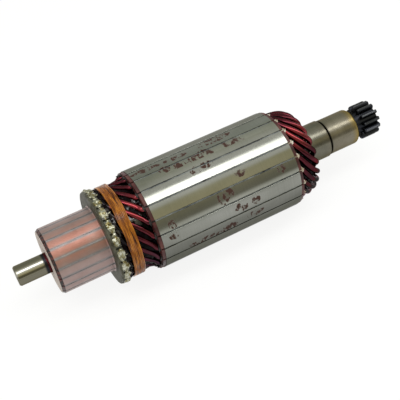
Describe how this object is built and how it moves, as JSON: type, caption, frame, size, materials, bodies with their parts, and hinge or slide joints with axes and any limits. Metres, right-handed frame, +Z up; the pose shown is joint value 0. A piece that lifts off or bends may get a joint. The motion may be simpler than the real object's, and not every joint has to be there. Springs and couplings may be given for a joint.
{
  "type": "motor armature",
  "caption": "Starter motor armature: shaft with integral pinion, slotted steel stack, red hairpin windings, corded overhang and copper commutator.",
  "frame": {"origin": "on the shaft's axis in the plane of the commutator's front face, where the commutator-end journal ends", "axes": "+X along the shaft from the commutator end to the pinion end, +Z up with one slot mouth of the stack facing straight down"},
  "size_m": [0.2288, 0.058, 0.058],
  "materials": {
    "shaft_steel": "ground steel with an oily olive tone, blackened pinion",
    "core_steel": "ground lamination edges, light varnish stains",
    "end_board": "varnished red-brown board",
    "slot_paper": "pale insulating paper",
    "wire_enamel": "copper under glossy dark red enamel",
    "commutator_copper": "turned copper",
    "mica": "grey-blue mica, undercut",
    "hub_moulding": "moulded resin",
    "bush_steel": "turned steel",
    "solder": "bright lumpy solder with flux",
    "cord_resin": "orange-brown cord soaked in resin",
    "sleeve_board": "varnished board tube"
  },
  "bodies": {
    "root": {"shaft": "shaft_steel", "lamination_stack": "core_steel", "front_end_disc": "end_board", "rear_end_disc": "end_board", "slot_papers": "slot_paper", "commutator_hub": "hub_moulding", "commutator_bush": "bush_steel", "mica_separators": "mica", "solder_joints": "solder", "binding_cord": "cord_resin", "layer_sleeve": "sleeve_board", "shaft_tube": "sleeve_board", "coil_1": "wire_enamel", "coil_2": "wire_enamel", "coil_3": "wire_enamel", "coil_4": "wire_enamel", "coil_5": "wire_enamel", "coil_6": "wire_enamel", "coil_7": "wire_enamel", "coil_8": "wire_enamel", "coil_9": "wire_enamel", "coil_10": "wire_enamel", "coil_11": "wire_enamel", "coil_12": "wire_enamel", "coil_13": "wire_enamel", "coil_14": "wire_enamel", "coil_15": "wire_enamel", "coil_16": "wire_enamel", "coil_17": "wire_enamel", "coil_18": "wire_enamel", "coil_19": "wire_enamel", "coil_20": "wire_enamel", "coil_21": "wire_enamel", "commutator_bar_1": "commutator_copper", "commutator_bar_2": "commutator_copper", "commutator_bar_3": "commutator_copper", "commutator_bar_4": "commutator_copper", "commutator_bar_5": "commutator_copper", "commutator_bar_6": "commutator_copper", "commutator_bar_7": "commutator_copper", "commutator_bar_8": "commutator_copper", "commutator_bar_9": "commutator_copper", "commutator_bar_10": "commutator_copper", "commutator_bar_11": "commutator_copper", "commutator_bar_12": "commutator_copper", "commutator_bar_13": "commutator_copper", "commutator_bar_14": "commutator_copper", "commutator_bar_15": "commutator_copper", "commutator_bar_16": "commutator_copper", "commutator_bar_17": "commutator_copper", "commutator_bar_18": "commutator_copper", "commutator_bar_19": "commutator_copper", "commutator_bar_20": "commutator_copper", "commutator_bar_21": "commutator_copper"}
  },
  "joints": []
}
